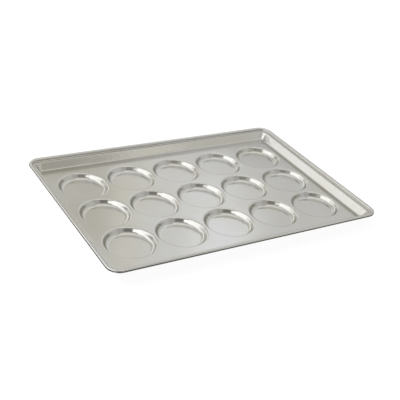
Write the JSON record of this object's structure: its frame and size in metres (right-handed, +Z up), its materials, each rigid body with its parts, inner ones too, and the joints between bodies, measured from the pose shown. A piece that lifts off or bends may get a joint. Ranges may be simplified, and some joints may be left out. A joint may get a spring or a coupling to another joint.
{
  "type": "hamburger bun pan",
  "caption": "Rectangular baking pan pressed from one metal sheet, with round cups for bun dough sunk in its deck, flared sides, a flat flange and a curled rim with a wire in it.",
  "frame": {"origin": "centre of the pan's footprint, on the plane that the undersides of the cups stand on", "axes": "+X along the long side, +Y across the pan, +Z up out of the cups"},
  "size_m": [0.6572, 0.4538, 0.0364],
  "materials": {
    "aluminised_steel": "bare aluminised steel sheet, satin, with a light glaze",
    "galvanised_wire": "dull zinc-coated steel wire"
  },
  "bodies": {
    "root": {"pan_sheet": "aluminised_steel", "rim_wire": "galvanised_wire"}
  },
  "joints": []
}
